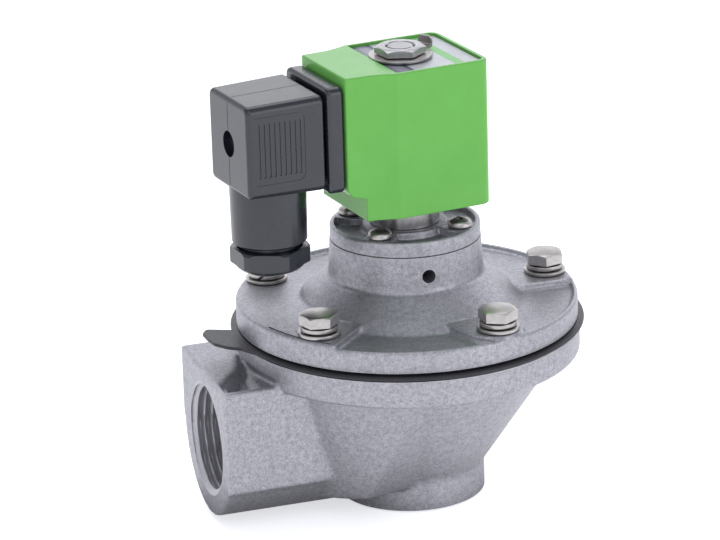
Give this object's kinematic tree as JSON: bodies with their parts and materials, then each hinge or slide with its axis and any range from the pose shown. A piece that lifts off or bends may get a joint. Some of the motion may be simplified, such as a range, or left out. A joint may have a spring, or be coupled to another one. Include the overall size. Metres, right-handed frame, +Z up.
{
  "type": "dust collector pulse valve",
  "caption": "Right-angle diaphragm pulse valve with threaded ports, bolted cover, pilot stage, green solenoid coil and square electrical connector.",
  "frame": {"origin": "centre of the outlet port's lower face, on the valve's axis; the part stands on that face", "axes": "+Z up the valve's axis to the coil nut, -X out of the inlet port and towards the connector, -Y the side that the picture shows"},
  "size_m": [0.1143, 0.1035, 0.1355],
  "materials": {
    "cast_aluminium": "grey die-cast aluminium with a fine blasted grain, machined on the port faces",
    "black_rubber": "moulded black rubber, satin",
    "bright_steel": "bright zinc-plated or stainless steel fasteners",
    "plain_steel": "turned or pressed steel",
    "spring_steel": "drawn spring wire",
    "green_moulding": "glossy green moulded plastic",
    "black_moulding": "black moulded plastic, satin",
    "copper": "enamelled copper wire",
    "brass": "plain brass blades",
    "label_silver": "thin silver plate with plain stripes and no lettering",
    "bobbin_moulding": "natural moulded plastic"
  },
  "bodies": {
    "valve_body": {"body_casting": "cast_aluminium", "cover_casting": "cast_aluminium", "pilot_plate": "cast_aluminium", "main_diaphragm": "black_rubber", "pilot_diaphragm": "black_rubber", "coil_seal_ring": "black_rubber", "connector_gasket": "black_rubber", "gland_seal": "black_rubber", "core_tube": "plain_steel", "fixed_core": "plain_steel", "coil_yoke": "plain_steel", "retaining_clip": "bright_steel", "coil_nut": "bright_steel", "connector_screw": "bright_steel", "gland_washer": "bright_steel", "main_spring": "spring_steel", "pilot_spring": "spring_steel", "plunger_spring": "spring_steel", "coil_housing": "green_moulding", "coil_bobbin": "bobbin_moulding", "coil_winding": "copper", "label_plate": "label_silver", "connector_base": "black_moulding", "connector_housing": "black_moulding", "terminal_block": "black_moulding", "gland_nut": "black_moulding", "cover_bolt_1": "bright_steel", "spring_washer_1": "bright_steel", "flat_washer_1": "bright_steel", "cover_bolt_2": "bright_steel", "spring_washer_2": "bright_steel", "flat_washer_2": "bright_steel", "cover_bolt_3": "bright_steel", "spring_washer_3": "bright_steel", "flat_washer_3": "bright_steel", "cover_bolt_4": "bright_steel", "spring_washer_4": "bright_steel", "flat_washer_4": "bright_steel", "cover_bolt_5": "bright_steel", "spring_washer_5": "bright_steel", "flat_washer_5": "bright_steel", "pilot_screw_1": "bright_steel", "pilot_screw_2": "bright_steel", "pilot_screw_3": "bright_steel", "pilot_screw_4": "bright_steel", "contact_pin_1": "brass", "contact_pin_2": "brass", "contact_pin_3": "brass"},
    "diaphragm_assembly": {"upper_clamp_plate": "plain_steel", "valve_disc": "plain_steel", "diaphragm_bolt": "bright_steel", "diaphragm_nut": "bright_steel"},
    "pilot_piston": {"pilot_disc": "plain_steel"},
    "plunger": {"plunger": "plain_steel", "plunger_seal": "black_rubber"}
  },
  "joints": [
    {"name": "diaphragm_lift", "type": "slide", "parent": "valve_body", "child": "diaphragm_assembly", "axis": [0, 0, 1], "range_m": [0, 0.006], "stiffness_N_per_m": 500, "springref_m": -0.01, "deforming": ["main_spring", "main_diaphragm"]},
    {"name": "pilot_lift", "type": "slide", "parent": "valve_body", "child": "pilot_piston", "axis": [0, 0, 1], "range_m": [0, 0.001], "stiffness_N_per_m": 300, "springref_m": -0.003, "deforming": ["pilot_spring", "pilot_diaphragm"]},
    {"name": "plunger_lift", "type": "slide", "parent": "valve_body", "child": "plunger", "axis": [0, 0, 1], "range_m": [0, 0.0016], "stiffness_N_per_m": 200, "springref_m": -0.006, "deforming": ["plunger_spring"]}
  ]
}
